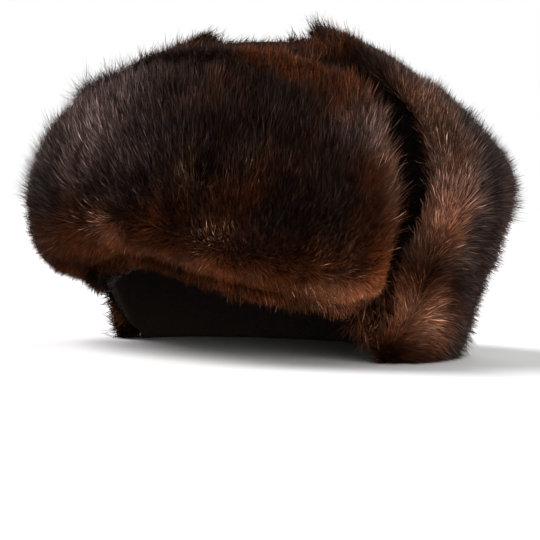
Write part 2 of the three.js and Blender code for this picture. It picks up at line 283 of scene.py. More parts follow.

# Warmth, paleness and brightness by place; the brightness is painted light and shade
LOW_WARM_ANGLES = [-30, 0, 30, 60]
LOW_WARM = [0.85, 0.8, 0.8, 0.9]
LOW_WARM_TOP = [42, 48, 47, 42]
LOW_WARM_SHARES = (1.0, 0.2)  # of that top
LEFT_END_WARMTH = 0.8
RIGHT_END_WARMTH = 0.45
WARM_RIM_HEIGHT = 155
WARM_RIM_AT = 35
WARM_RIM_FALLS = 1.3  # millimetres for each degree
WARM_RIM_BAND = (-16, -3)
WARM_RIM_ANGLES = (10, 35)
WARM_RIM = 0.7
WARM_BAND = (9, 3)
WARM_BAND_TOP = (152, 128)
WARM_BAND_WARMTH = 0.5
FOOT_HEIGHTS = (58, 34)
FOOT_ANGLES = (106, 90)
FOOT_WARMTH = 0.85
FLAP_WARMTH = 0.06
CROWN_WARMTH = 0.08
CROWN_EDGE_WARMTH = 0.5
WARMTH_VARIES = 0.25
PALE_BAND_FRONT = (-3, 0)
PALE_BAND_BACK = (7, 3)
PALE_BAND_FOOT = (40, 60)
PALE_BAND_TOP = (152, 130)
PALE_BAND = 0.45
FLAP_PALENESS = 0.03
CORNER_PALENESS = 0.2
BESIDE_TIP_PALENESS = 0.1
EVEN_PALENESS = 0.6
# The crown's fur is darkened as painted shade, less beside the flaps' tips and in its low corners
CROWN_SHADED_BRIGHTNESS = 0.65
# Painted shade on the crown in the gaps between the visor's ends and the flaps
GAP_FRONT = (50, 60)
GAP_BACK = (102, 90)
GAP_TOP = (158, 148)
GAP_PAINTED_SHADE = 0.85
# Painted shade along the flaps' bottom roll, darkest at the floor
FOLD_HEIGHTS = (14, 4)
FOLD_PAINTED_SHADE = 0.6
# Painted shade along the visor's hem, which faces away from the light above
HEM_EDGE = (13, 5)
HEM_PAINTED_SHADE = 0.4
TONE_VARIES = 0.25
SMALL_TONES = 5 * MM
LARGE_TONES = 16 * MM
LARGE_TONES_SEED = 90
LARGE_COLOURS = 22 * MM
SMALL_COLOURS = 7 * MM
SMALL_COLOURS_SHARE = 0.6
COLOURS_SEED = 71
# How much the frosted tips and their painted sheen vary
FROST_AND_SHEEN_VARIES = 0.4

# A soft random field: how many waves it has, how close they come, and how high they add up
NOISE_WAVES = 7
NOISE_PITCH = 2.6
NOISE_PITCHES = (0.6, 1.5)
NOISE_TURN = 6.28
NOISE_HEIGHT = 3.2

# Coats of hair: lift and spread are in degrees and bend in radians. Steps are places along a hair, each with
# its share of the hair's width.
GUARD = {
    "length": 13.5 * MM,
    "shortest": 0.5,
    "longer_by": 0.95,
    "few_long": 2.2,
    "width": 0.23 * MM,
    "lift": 34,
    "lift_spread": 18,
    "bend": 0.1,
    "droop": 0.15,
    "spread": 14,
    "jitter": 0.5 * MM,
    "clump": 0.17,
    "uneven": 0.65,
    "when_low": 0.68,
    "pale_singly": 0.6,
    "strands": 1.0,
    "material": "guard_hair",
    "steps": [(0.0, 1.0), (0.55, 0.8), (1.0, 0.0)],
}
UNDER = {
    "length": 8 * MM,
    "shortest": 0.7,
    "longer_by": 0.5,
    "few_long": 1.0,
    "width": 0.4 * MM,
    "lift": 48,
    "lift_spread": 12,
    "bend": 0.2,
    "droop": 0.25,
    "spread": 24,
    "jitter": 0.8 * MM,
    "clump": 0.25,
    "uneven": 0.35,
    "when_low": 0.9,
    "pale_singly": 0.1,
    "strands": 0.15,
    "material": "underfur",
    "steps": [(0.0, 1.0), (1.0, 0.0)],
}
FLAP_GUARD = {**GUARD, "width": 0.25 * MM, "pale_singly": 0.25}
COARSE_GUARD = {**GUARD, "width": 0.36 * MM, "pale_singly": 0.25}
COARSE_UNDER = {**UNDER, "width": 0.6 * MM}
SHORT_GUARD = {**GUARD, "length": 11 * MM, "lift": 32, "width": 0.5 * MM, "material": "underfur"}
SHORT_UNDER = {**UNDER, "length": 8 * MM, "lift": 38, "width": 0.9 * MM}

# Every coat on the hat; its place in this list is its random seed
FUR = [
    {"on": "visor", "kind": "guard_hair", "hairs": 62000, "coat": GUARD},
    {"on": "visor", "kind": "underfur", "hairs": 130000, "coat": UNDER},
    {"on": "left_ear_flap", "kind": "guard_hair", "hairs": 50000, "coat": FLAP_GUARD},
    {"on": "left_ear_flap", "kind": "underfur", "hairs": 100000, "coat": UNDER},
    {"on": "right_ear_flap", "kind": "guard_hair", "hairs": 28000, "coat": COARSE_GUARD},
    {"on": "right_ear_flap", "kind": "underfur", "hairs": 60000, "coat": COARSE_UNDER},
    {"on": "neck_flap", "kind": "guard_hair", "hairs": 28000, "coat": COARSE_GUARD},
    {"on": "neck_flap", "kind": "underfur", "hairs": 60000, "coat": COARSE_UNDER},
    {"on": "crown", "kind": "guard_hair", "hairs": 10000, "coat": SHORT_GUARD},
    {"on": "crown", "kind": "underfur", "hairs": 30000, "coat": SHORT_UNDER},
]

# Colours along a hair from its root to its tip, and how it shines. The guard hair's ramps are brightest about
# three quarters along: a painted glint.
GUARD_SHADES = {
    # Each guard ramp is brightest about three quarters along, a painted glint
    "dark": [(0.0, (0.003, 0.002, 0.001)), (0.5, (0.006, 0.003, 0.002)), (0.75, (0.024, 0.012, 0.008)),
             (1.0, (0.008, 0.004, 0.003))],
    "warm": [(0.0, (0.008, 0.002, 0.001)), (0.5, (0.030, 0.007, 0.002)), (0.75, (0.090, 0.024, 0.006)),
             (1.0, (0.030, 0.009, 0.003))],
    "pale": [(0.0, (0.030, 0.012, 0.006)), (0.5, (0.170, 0.085, 0.052)), (0.8, (0.400, 0.235, 0.155)),
             (1.0, (0.190, 0.105, 0.070))],
    # Frosted grey tips with a painted sheen
    "frost_and_sheen": [(0.0, (0.006, 0.004, 0.003)), (0.4, (0.058, 0.038, 0.034)), (0.7, (0.230, 0.155, 0.138)),
              (1.0, (0.080, 0.054, 0.050))],
    "roughness": 0.3,
    "gloss": 0.16,
}
UNDER_SHADES = {
    "dark": [(0.0, (0.003, 0.0015, 0.001)), (0.6, (0.009, 0.004, 0.0025)), (1.0, (0.017, 0.008, 0.005))],
    "warm": [(0.0, (0.012, 0.003, 0.001)), (0.6, (0.074, 0.018, 0.0045)), (1.0, (0.130, 0.038, 0.012))],
    "pale": [(0.0, (0.030, 0.012, 0.006)), (0.6, (0.200, 0.095, 0.058)), (1.0, (0.330, 0.165, 0.108))],
    # Frosted grey tips with a painted sheen
    "frost_and_sheen": [(0.0, (0.005, 0.003, 0.002)), (0.6, (0.042, 0.025, 0.020)), (1.0, (0.095, 0.060, 0.050))],
    "roughness": 0.6,
    "gloss": 0.05,
}
SHINE_COLOUR = (1.0, 0.76, 0.70, 1)
MATT_WHERE_WARM = 0.7

# The hide under the fur, nearly black as the underfur's own colour and as painted shade deep in the fur, the
# cloth inside the crown, and the lace
HIDE_SCALE = 320
HIDE_AND_DEPTH_SHADES = [(0.3, (0.003, 0.0015, 0.001)), (0.7, (0.012, 0.006, 0.004))]
HIDE_BUMP = 0.2 * MM
INSIDE_SCALE = 1500
INSIDE_SHADES = [(0.3, (0.016, 0.012, 0.010)), (0.7, (0.042, 0.031, 0.025))]
INSIDE_BUMP = 0.3 * MM
THREADS_SCALE = 350
THREADS_BUMP = 0.2 * MM
THREADS_SHADES = [(0.0, (0.004, 0.003, 0.002)), (1.0, (0.018, 0.011, 0.008))]


def deselect_all():
    if bpy.context.object and bpy.context.object.mode != "OBJECT":
        bpy.ops.object.mode_set(mode="OBJECT")
    bpy.ops.object.select_all(action="DESELECT")


def select_only(*objects):
    deselect_all()
    for thing in objects:
        thing.select_set(True)
    bpy.context.view_layer.objects.active = objects[0]


# Camera, floor and light


def aim(thing, at, towards, roll=0.0):
    """Puts a camera or light at a point, looking towards another one."""
    way = Vector(towards) - Vector(at)
    turn = way.to_track_quat("-Z", "Y").to_matrix().to_4x4()
    thing.matrix_world = Matrix.Translation(at) @ turn @ Matrix.Rotation(math.radians(roll), 4, "Z")


def make_camera():
    data = bpy.data.cameras.new("camera")
    data.lens = LENS
    data.sensor_width = SENSOR
    data.clip_start = NEAREST_SEEN
    camera = bpy.data.objects.new("camera", data)
    bpy.context.scene.collection.objects.link(camera)
    aim(camera, CAMERA_AT, CAMERA_LOOKS_AT, CAMERA_ROLL)
    bpy.context.scene.camera = camera


def make_floor():
    deselect_all()
    bpy.ops.mesh.primitive_plane_add(size=FLOOR_SIZE, location=(0, 0, 0))
    floor = bpy.context.object
    floor.name = "floor"
    material, _, shader = new_material("pale_floor")
    shader.inputs["Base Color"].default_value = (FLOOR_WHITE, FLOOR_WHITE, FLOOR_WHITE, 1)
    shader.inputs["Roughness"].default_value = 0.9
    shader.inputs["Specular IOR Level"].default_value = 0.0
    floor.data.materials.append(material)


def make_lights():
    for name, light in LIGHTS.items():
        data = bpy.data.lights.new(name, "SUN")
        data.energy = light["strength"]
        data.angle = math.radians(light["width"])
        data.color = light["colour"]
        thing = bpy.data.objects.new(name, data)
        bpy.context.scene.collection.objects.link(thing)
        aim(thing, light["side"], (0, 0, 0))


def make_world():
    """White to look at, and a dimmer light from all round, so that the lights shape the fur."""
    world = bpy.data.worlds.new("studio")
    world.use_nodes = True
    tree = world.node_tree
    seen = tree.nodes["Background"]
    seen.inputs["Color"].default_value = (1, 1, 1, 1)
    seen.inputs["Strength"].default_value = 1.0
    lighting = tree.nodes.new("ShaderNodeBackground")
    lighting.inputs["Color"].default_value = (1, 1, 1, 1)
    lighting.inputs["Strength"].default_value = SURROUND_LIGHT
    path = tree.nodes.new("ShaderNodeLightPath")
    choice = tree.nodes.new("ShaderNodeMixShader")
    tree.links.new(path.outputs["Is Camera Ray"], choice.inputs[0])
    tree.links.new(lighting.outputs[0], choice.inputs[1])
    tree.links.new(seen.outputs[0], choice.inputs[2])
    tree.links.new(choice.outputs[0], tree.nodes["World Output"].inputs["Surface"])
    bpy.context.scene.world = world
    bpy.context.scene.view_settings.view_transform = "Standard"


# Materials


def new_material(name):
    material = bpy.data.materials.new(name)
    material.use_nodes = True
    return material, material.node_tree, material.node_tree.nodes["Principled BSDF"]


def ramp(tree, source, stops):
    node = tree.nodes.new("ShaderNodeValToRGB")
    elements = node.color_ramp.elements
    while len(elements) < len(stops):
        elements.new(0.5)
    for element, (place, colour) in zip(elements, stops):
        element.position = place
        element.color = (*colour, 1)
    tree.links.new(source, node.inputs["Fac"])
    return node.outputs["Color"]


def attribute(tree, name):
    node = tree.nodes.new("ShaderNodeAttribute")
    node.attribute_name = name
    return node.outputs["Fac"]


def mix(tree, share, first, second):
    node = tree.nodes.new("ShaderNodeMix")
    node.data_type = "RGBA"
    tree.links.new(share, node.inputs[0])
    tree.links.new(first, node.inputs[6])
    tree.links.new(second, node.inputs[7])
    return node.outputs[2]


def fur_material(name, shades):
    """Hair that changes from its root to its tip, nearly black, reddish, frosted grey with a painted sheen,
    or pale by its place, and brighter or darker by a tone that carries painted light and shade.
    """
    material, tree, shader = new_material(name)
    along = attribute(tree, "along")
    colour = ramp(tree, along, shades["dark"])
    colour = mix(tree, attribute(tree, "warmth"), colour, ramp(tree, along, shades["warm"]))
    # Mixes in frosted grey tips with a painted sheen, by the frost patches
    colour = mix(tree, attribute(tree, "frost_and_sheen"), colour, ramp(tree, along, shades["frost_and_sheen"]))
    colour = mix(tree, attribute(tree, "paleness"), colour, ramp(tree, along, shades["pale"]))
    tone_and_painted_light = tree.nodes.new("ShaderNodeVectorMath")
    tone_and_painted_light.operation = "SCALE"
    tree.links.new(colour, tone_and_painted_light.inputs[0])
    tree.links.new(attribute(tree, "tone_and_painted_light"), tone_and_painted_light.inputs["Scale"])
    tree.links.new(tone_and_painted_light.outputs["Vector"], shader.inputs["Base Color"])
    shine = tree.nodes.new("ShaderNodeMath")
    shine.operation = "MULTIPLY_ADD"
    tree.links.new(attribute(tree, "warmth"), shine.inputs[0])
    shine.inputs[1].default_value = -MATT_WHERE_WARM * shades["gloss"]
    shine.inputs[2].default_value = shades["gloss"]
    tree.links.new(shine.outputs["Value"], shader.inputs["Specular IOR Level"])
    shader.inputs["Roughness"].default_value = shades["roughness"]
    shader.inputs["Specular Tint"].default_value = SHINE_COLOUR
    return material


def mottled_material(name, scale, shades, bump):
    """A dark matt surface in two shades, slightly rough."""
    material, tree, shader = new_material(name)
    place = tree.nodes.new("ShaderNodeTexCoord")
    noise = tree.nodes.new("ShaderNodeTexNoise")
    noise.inputs["Scale"].default_value = scale
    noise.inputs["Detail"].default_value = 5
    tree.links.new(place.outputs["Object"], noise.inputs["Vector"])
    tree.links.new(ramp(tree, noise.outputs["Fac"], shades), shader.inputs["Base Color"])
    raise_by(tree, shader, noise.outputs["Fac"], bump)
    shader.inputs["Roughness"].default_value = 0.9
    shader.inputs["Specular IOR Level"].default_value = 0.1
    return material


def raise_by(tree, shader, height, distance):
    """Bumps a material by a height between 0 and 1."""
    bump = tree.nodes.new("ShaderNodeBump")
    bump.inputs["Distance"].default_value = distance
    tree.links.new(height, bump.inputs["Height"])
    tree.links.new(bump.outputs["Normal"], shader.inputs["Normal"])


def lace_material():
    """A dark flat lace, woven of threads a little under a millimetre apart."""
    material, tree, shader = new_material("woven_lace")
    place = tree.nodes.new("ShaderNodeTexCoord")
    weave = tree.nodes.new("ShaderNodeMath")
    weave.operation = "MULTIPLY"
    for socket, direction in zip(weave.inputs, ("X", "Y")):
        threads = tree.nodes.new("ShaderNodeTexWave")
        threads.bands_direction = direction
        threads.inputs["Scale"].default_value = THREADS_SCALE
        tree.links.new(place.outputs["Object"], threads.inputs["Vector"])
        tree.links.new(threads.outputs["Fac"], socket)
    tree.links.new(ramp(tree, weave.outputs[0], THREADS_SHADES), shader.inputs["Base Color"])
    raise_by(tree, shader, weave.outputs[0], THREADS_BUMP)
    shader.inputs["Roughness"].default_value = 0.85
    shader.inputs["Specular IOR Level"].default_value = 0.08
    return material


# Pads under the fur


def copy_of(*nodes):
    """One mesh object with copies of CAD nodes in it, their shared points merged."""
    copies = []
    for node in nodes:
        copy = frame["nodes"][node].copy()
        copy.data = copy.data.copy()
        copy.parent = None
        for key in list(copy.keys()):
            del copy[key]
        bpy.context.scene.collection.objects.link(copy)
        copies.append(copy)
    select_only(*copies)
    if len(copies) > 1:
        bpy.ops.object.join()
    merged = bpy.context.object
    bpy.ops.object.mode_set(mode="EDIT")
    bpy.ops.mesh.select_all(action="SELECT")
    bpy.ops.mesh.remove_doubles(threshold=SAME_POINT_WITHIN)
    bpy.ops.object.mode_set(mode="OBJECT")
    return merged


def smooth_pad(name, nodes, make):
    """A pad as smooth hide: its locks melt away, and the fur will stand in their place."""
    pad = copy_of(*nodes)
    pad.name = name
    pad.data.name = name
    remesh = pad.modifiers.new("remesh", "REMESH")
    remesh.mode = "VOXEL"
    remesh.voxel_size = make["voxel"]
    remesh.use_smooth_shade = True
    bpy.ops.object.modifier_apply(modifier=remesh.name)
    smooth_over(pad, make["rounds"])
    sink(pad, make["depth"])
    smooth_over(pad, ROUNDS_AFTER_SINKING)
    fewer = pad.modifiers.new("fewer_faces", "DECIMATE")
    fewer.ratio = make["kept"]
    bpy.ops.object.modifier_apply(modifier=fewer.name)
    bpy.ops.object.shade_smooth()
    lay_on_floor(pad)
    return pad


def smooth_over(pad, rounds):
    smooth = pad.modifiers.new("smooth", "SMOOTH")
    smooth.factor = 0.5
    smooth.iterations = rounds
    bpy.ops.object.modifier_apply(modifier=smooth.name)


def sink(pad, depth):
    """Moves the skin inwards by the depth of the coat on it, less where the pad is thin or near the floor."""
    tree = tree_of([pad])
    _, points, normals = triangles_of(pad)
    thickness = np.full(len(points), THICKEST)
    for i, (point, normal) in enumerate(zip(points, normals)):
        start = Vector(point - normal * JUST_UNDER_SKIN)
        hit = tree.ray_cast(start, Vector(-normal), THICKEST)
        if hit[0] is not None:
            thickness[i] = hit[3]
    step = np.minimum(depth, thickness * MOST_OF_THICKNESS) * depth_share(points, normals)
    moved = points - normals * step[:, None]
    near_floor = ease(points[:, 2], *NEAR_FLOOR) * (normals[:, 2] < 0)
    moved[:, 2] += (points[:, 2] - moved[:, 2]) * near_floor
    set_points(pad, moved)


def depth_share(points, normals):
    """How much of the coat's depth the skin moves: little at the visor's ends and the flaps' front edges."""
    place = place_of(points)
    visor = np.interp(place["height"], VISOR_DEPTH_HEIGHTS, VISOR_DEPTH_SHARES)
    visor *= 1 - VISOR_END_SINKS_LESS * ease(place["round_back"], *VISOR_END)
    visor += HEM_DEPTH_SHARE * ease(-normals[:, 2], *TURNED_DOWN) * ease(place["above_hem"], *AT_HEM)
    edge = ease(place["past_front"], *FLAP_EDGE)
    tip = ease(place["height"], *TIP_HEIGHTS) * ease(place["past_front"], *TIP_WIDTH)
    side = ease(place["round_back"], *FLAP_SIDE_ANGLES) * ease(place["height"], *FLAP_SIDE_FOOT)
    side *= ease(place["height"], *FLAP_SIDE_TOP)
    flap = 1 - EDGE_SINKS_LESS * np.maximum(edge, tip) - SIDE_SINKS_LESS * side
    grown = np.where(place["angle"] > 0, LEFT_TIP_GROWS, RIGHT_TIP_GROWS)
    flap -= grown * ease(place["height"], *GROWN_TIP_HEIGHTS) * ease(place["past_front"], *FOREMOST)
    return np.where(place["round_back"] > VISOR_SIDE, flap, visor)


def lay_on_floor(pad):
    """The underside of a pad that hangs under the floor or almost touches it is pressed flat on it."""
    _, points, normals = triangles_of(pad)
    low = (points[:, 2] < ALMOST_ON_FLOOR) & (normals[:, 2] < TOWARDS_FLOOR)
    points[low | (points[:, 2] < 0), 2] = 0.0
    set_points(pad, points)


def points_of(thing):
    points = np.empty(len(thing.data.vertices) * 3, np.float32)
    thing.data.vertices.foreach_get("co", points)
    return points.reshape(-1, 3).astype(float)


def set_points(thing, points):
    thing.data.vertices.foreach_set("co", points.astype(np.float32).ravel())
    thing.data.update()


def seam_plane(side):
    """A point on the plane of the seam between an ear flap and the neck flap, and its normal."""
    turn = math.radians(FLAP_SEAM)
    across = Vector((side * HALF_WIDTH * math.sin(turn), -HALF_LENGTH * math.cos(turn), 0))
    axis = Vector((0, AXIS_LEAN, 1))
    normal = across.cross(axis).normalized()
    return Vector((0, AXIS_AT_RIM, 0)), normal


def half_of(pad, name, point, normal, keep_outer):
    """A copy of a pad cut by a plane, with the cut closed."""
    part = pad.copy()
    part.data = pad.data.copy()
    part.name = name
    part.data.name = name
    bpy.context.scene.collection.objects.link(part)
    select_only(part)
    bpy.ops.object.mode_set(mode="EDIT")
    bpy.ops.mesh.select_all(action="SELECT")
    bpy.ops.mesh.bisect(
        plane_co=point,
        plane_no=normal,
        use_fill=True,
        clear_outer=not keep_outer,
        clear_inner=keep_outer,
    )
    bpy.ops.object.mode_set(mode="OBJECT")
    return part


def tilt_rim(pad):
    """Lets the visor's top rim lie a little lower on the wearer's right, and higher near the left."""
    points = points_of(pad)
    place = place_of(points)
    drop = np.interp(place["angle"], RIM_DROP_ANGLES, RIM_DROP) * MM
    points[:, 2] -= drop * ease(place["height"], *RIM_TILT_HEIGHTS)
    set_points(pad, points)


def lower_top(crown):
    """Lets the middle of the crown's top sink a little between the ear flaps' tips."""
    points = points_of(crown)
    between_tips = ease(np.abs(points[:, 0]), *BETWEEN_TIPS)
    points[:, 2] -= CROWN_TOP_DROP * ease(points[:, 2], *CROWN_TOP_HEIGHTS) * between_tips
    set_points(crown, points)


def make_pads():
    """The smooth pads under the fur, and the whole band that the three flaps are cut from."""
    visor = smooth_pad("visor_pad", ["visor"], THICK_PAD)
    tilt_rim(visor)
    crown = smooth_pad("crown_shell", ["crown"], THIN_PAD)
    lower_top(crown)
    band = smooth_pad("flap_band", ["left_ear_flap", "neck_flap", "right_ear_flap"], THICK_PAD)
    point, left_seam = seam_plane(1)
    point, right_seam = seam_plane(-1)
    left = half_of(band, "left_ear_flap_pad", point, left_seam, keep_outer=True)
    right = half_of(band, "right_ear_flap_pad", point, right_seam, keep_outer=False)
    back = half_of(band, "back_of_band", point, left_seam, keep_outer=False)
    neck = half_of(back, "neck_flap_pad", point, right_seam, keep_outer=True)
    bpy.data.objects.remove(back)
    return crown, visor, band, left, right, neck


def dress(pad, node, material):
    pad.data.materials.clear()
    pad.data.materials.append(material)
    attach(pad, "root")
    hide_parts(node)


def finish_inside(crown):
    """Plain dark cloth on the crown's inner faces."""
    crown.data.materials.append(mottled_material("inside_cloth", INSIDE_SCALE, INSIDE_SHADES, INSIDE_BUMP))
    for face in crown.data.polygons:
        if face.normal.dot(face.center - Vector(HOLLOW_CENTRE)) < 0:
            face.material_index = 1


def make_lace():
    """The lace that holds the tips together, with rounded edges, pressed a little into the fur."""
    lace = copy_of("tie_lace")
    points = points_of(lace)
    points[:, 2] -= LACE_PRESSED
    set_points(lace, points)
    lace.name = "lace"
    lace.data.name = "lace"
    rounding = lace.modifiers.new("rounding", "BEVEL")
    rounding.width = LACE_ROUNDING
    rounding.segments = 2
    rounding.limit_method = "ANGLE"
    bpy.ops.object.modifier_apply(modifier=rounding.name)
    lace.data.materials.clear()
    lace.data.materials.append(lace_material())
    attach(lace, "root")
    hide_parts("tie_lace")


# Fur


def triangles_of(thing):
    """Corner indices of a mesh's triangles, and its points with their normals."""
    mesh = thing.data
    mesh.calc_loop_triangles()
    corners = np.empty(len(mesh.loop_triangles) * 3, np.int32)
    mesh.loop_triangles.foreach_get("vertices", corners)
    normals = np.empty(len(mesh.vertices) * 3, np.float32)
    mesh.vertices.foreach_get("normal", normals)
    return corners.reshape(-1, 3), points_of(thing), normals.reshape(-1, 3).astype(float)


def tree_of(things):
    """One search tree over several meshes."""
    corners = []
    points = []
    count = 0
    for thing in things:
        own_corners, own_points, _ = triangles_of(thing)
        corners.append(own_corners + count)
        points.append(own_points)
        count += len(own_points)
    return BVHTree.FromPolygons(np.vstack(points).tolist(), np.vstack(corners).tolist())


def unit(vectors):
    return vectors / np.maximum(np.linalg.norm(vectors, axis=1, keepdims=True), 1e-9)


def along_surface(vectors, normals):
    """The part of each vector that lies along the surface, with length 1."""
    return unit(vectors - normals * (vectors * normals).sum(1)[:, None])


def smooth_noise(points, size, seed):
    """A soft random field between about -1 and 1 that varies over the given size."""
    rng = np.random.default_rng(seed)
    total = np.zeros(len(points))
    for _ in range(NOISE_WAVES):
        wave = rng.normal(size=3)
        wave *= rng.uniform(*NOISE_PITCHES) * NOISE_PITCH / (size * np.linalg.norm(wave))
        total += np.sin(points @ wave + rng.uniform(0, NOISE_TURN))
    return total / NOISE_HEIGHT


def ease(value, start, end):
    """0 before start, 1 after end, and smooth between them; start may be the larger one."""
    share = np.clip((value - start) / (end - start), 0, 1)
    return share * share * (3 - 2 * share)


def hat_angle(points):
    """Degrees round the hat's axis from its front, positive towards the wearer's left."""
    axis_y = AXIS_AT_RIM + AXIS_LEAN * points[:, 2]
    x = points[:, 0] / HALF_WIDTH
    y = (axis_y - points[:, 1]) / HALF_LENGTH
    return np.degrees(np.arctan2(x, y))


def spot(angle, height):
    """The point on the hat's outside at a hat angle and a height in millimetres."""
    turn = math.radians(angle)
    y = AXIS_AT_RIM + AXIS_LEAN * height * MM - HALF_LENGTH * math.cos(turn)
    return np.array([HALF_WIDTH * math.sin(turn), y, height * MM])


def furred_area(thing, tree):
    """The area of each triangle that fur grows on, and 0 for the ones that are covered or bare."""
    corners, points, _ = triangles_of(thing)
    a, b, c = (points[corners[:, k]] for k in range(3))
    cross = np.cross(b - a, c - a)
    area = np.linalg.norm(cross, axis=1) / 2
    normal = unit(cross)
    middle = (a + b + c) / 3
    from_inside = middle - np.array(HOLLOW_CENTRE)
    if thing.name == "crown_shell":
        area[(normal * from_inside).sum(1) < 0] = 0
        area[(normal[:, 2] < UNDER_WALL) & (middle[:, 2] < UNDER_WALL_HEIGHT)] = 0
    area[(normal[:, 2] < FLAT_ON_FLOOR) & (middle[:, 2] < ON_FLOOR)] = 0
    for i in np.flatnonzero(area):
        start = Vector(middle[i] + normal[i] * OFF_SKIN)
        if tree.ray_cast(start, Vector(normal[i]), COVERED_WITHIN)[0] is not None:
            area[i] = 0
    return area


def sample_roots(thing, area, count, rng):
    """Random places on a pad's furred triangles, with the pad's smooth normals."""
    corners, points, normals = triangles_of(thing)
    chosen = rng.choice(len(area), size=count, p=area / area.sum())
    u, v = rng.random(count), rng.random(count)
    over = u + v > 1
    u[over], v[over] = 1 - u[over], 1 - v[over]
    shares = np.stack([1 - u - v, u, v], axis=1)[:, :, None]
    roots = (points[corners[chosen]] * shares).sum(1)
    lean = (normals[corners[chosen]] * shares).sum(1)
    return roots, unit(lean)


def place_of(points):
    """Where points lie on the hat: round it, up it, from its flaps' edges and visor's hem, and from above."""
    angle = hat_angle(points)
    height = points[:, 2] / MM
    round_back = np.abs(angle)
    return {
        "angle": angle,
        "height": height,
        "round_back": round_back,
        "past_front": round_back - np.interp(height, FLAP_FRONT_HEIGHTS, FLAP_FRONT_ANGLES),
        "above_hem": height - np.interp(angle, HEM_ANGLES, HEM_HEIGHTS),
        "aside": np.abs(points[:, 0]) / MM,
        "back": points[:, 1] / MM,
    }


def nearness(place, angle, height, wide, tall):
    """1 at a spot on the hat and less away from it; wide and tall are half sizes in millimetres."""
    across = (place["angle"] - angle) * MM_PER_DEGREE / wide
    along = (place["height"] - height) / tall
    return np.exp(-(across**2) - along**2)


def patches(place, kind):
    """How strongly the patches of one kind colour each place: most in a patch's middle, by its share."""
    cover = np.zeros(len(place["angle"]))
    for patch in PATCHES[kind]:
        near = nearness(place, patch["angle"], patch["height"], patch["wide"], patch["tall"])
        cover = np.maximum(cover, patch["share"] * near)
    return cover


def comb_angle(place, zone, wander):
    """Degrees from straight up that the fur is combed to, positive towards the wearer's left."""
    if zone == "crown":
        return -np.sign(place["angle"]) * CORNER_COMB * lower_corner(place)
    if zone == "visor":
        turned = np.interp(place["angle"], VISOR_ANGLES, VISOR_COMB)
        side = np.where(place["angle"] + PARTING_WANDERS * wander > HEM_PARTING, 1, -1)
        return turned + side * HEM_TURN * ease(place["above_hem"], *HEM_TURN_HEIGHTS)
    turned = np.interp(place["past_front"], FLAP_PAST_FRONT, FLAP_COMB)
    turned *= np.interp(place["height"], FLAP_COMB_HEIGHTS, FLAP_COMB_SHARES)
    turned *= np.interp(place["round_back"], BACK_ANGLES, BACK_SHARES)
    return np.sign(place["angle"]) * turned


def lower_corner(place):
    """1 on the crown low down between the visor's end and the ear flap, where long fur fills the gap."""
    return ease(place["height"], *CORNER_HEIGHTS) * ease(place["round_back"], *CORNER_ANGLES)


def beside_tip(place):
    """1 on the crown in front of an ear flap's tip, where the tip's fur lies on it."""
    away = (place["aside"] - TIP_FUR_ASIDE) ** 2 + (place["back"] - TIP_FUR_BACK) ** 2
    return np.exp(-away / TIP_FUR_SIZE**2) * ease(place["height"], *TIP_FUR_HEIGHTS)


def over_lace(place):
    """1 on the crown's top round the lace, which is hidden in longer fur."""
    return ease(np.abs(place["back"] - LACE_BACK), *LACE_HIDDEN)


def comb(points, normals, place, zone, spread, seed):
    """The direction along the surface that each hair is combed in."""
    upright = np.tile([0.0, 0.0, 1.0], (len(points), 1))
    inward = np.stack([-points[:, 0], -points[:, 1], np.zeros(len(points))], axis=1)
    flat = ease(normals[:, 2], *LEVEL_SURFACE)[:, None]
    up = along_surface(upright * (1 - flat) + inward / HALF_WIDTH * flat, normals)
    aside = np.cross(up, normals)
    wander = smooth_noise(points, WANDER_SIZE, seed)
    wave = wander * WAVE_TURN + smooth_noise(points, WAVE_SIZE, seed + 1) * WAVE_TURN
    messy = 1 + MESSY_LOW * ease(place["above_hem"], *MESSY_HEIGHTS)
    turn = np.radians(comb_angle(place, zone, wander) + wave * messy + spread)[:, None]
    way = up * np.cos(turn) + aside * np.sin(turn)
    for whorl in WHORLS:
        away = points - spot(whorl["angle"], whorl["height"])
        near = nearness(place, whorl["angle"], whorl["height"], whorl["size"], whorl["size"])
        share = whorl["turn"] * near[:, None]
        way = way * (1 - share) + along_surface(away, normals) * share
    return unit(way)


def length_share(place, zone, when_low):
    """The share of its coat's full length that the fur has here; when_low is the share low on the visor."""
    if zone == "crown":
        top = 1 - CROWN_TOP_SHORTER * ease(place["height"], *CROWN_TOP_FUR) * (1 - over_lace(place))
        return top + CORNER_LONGER * lower_corner(place) + BESIDE_TIP_LONGER * beside_tip(place)
    if zone == "visor":
        end = ease(place["round_back"], *LONG_END)
        at_end = np.interp(place["height"], VISOR_END_HEIGHTS, VISOR_END_LENGTHS)
        rim = 1 - RIM_SHORTER * ease(place["height"], *RIM_HEIGHTS)
        low = 1 - (1 - when_low) * ease(place["above_hem"], *LOW_HEIGHTS)
        return rim * low * (1 - end) + at_end * end
    tip = TIP_KEEPS * ease(place["past_front"], *FOREMOST)
    return 1 - FLAP_TOP_SHORTER * ease(place["height"], *FLAP_TOP_HEIGHTS) * (1 - tip)


def tuft_share(place, zone):
    """How strongly the fur gathers into tufts: more of it low on the visor."""
    if zone == "visor":
        return 1 + ease(place["above_hem"], *TUFTY_HEIGHTS) * ease(place["angle"], *TUFTY_ANGLES)
    return np.ones(len(place["angle"]))


def clumped(roots, tips, size, pull, seed):
    """Pulls the tips of the hairs in each small clump together."""
    warp = np.stack([smooth_noise(roots, size * TUFT_WARP_SIZE, seed + k) for k in range(3)], axis=1)
    cell = np.floor((roots + warp * size * TUFT_WARP) / size).astype(np.int64)
    _, clump = np.unique(cell, axis=0, return_inverse=True)
    clump = clump.reshape(-1)
    counts = np.bincount(clump)
    middle = np.stack([np.bincount(clump, tips[:, k]) / counts for k in range(3)], axis=1)
    return tips + (middle[clump] - tips) * pull[:, None]


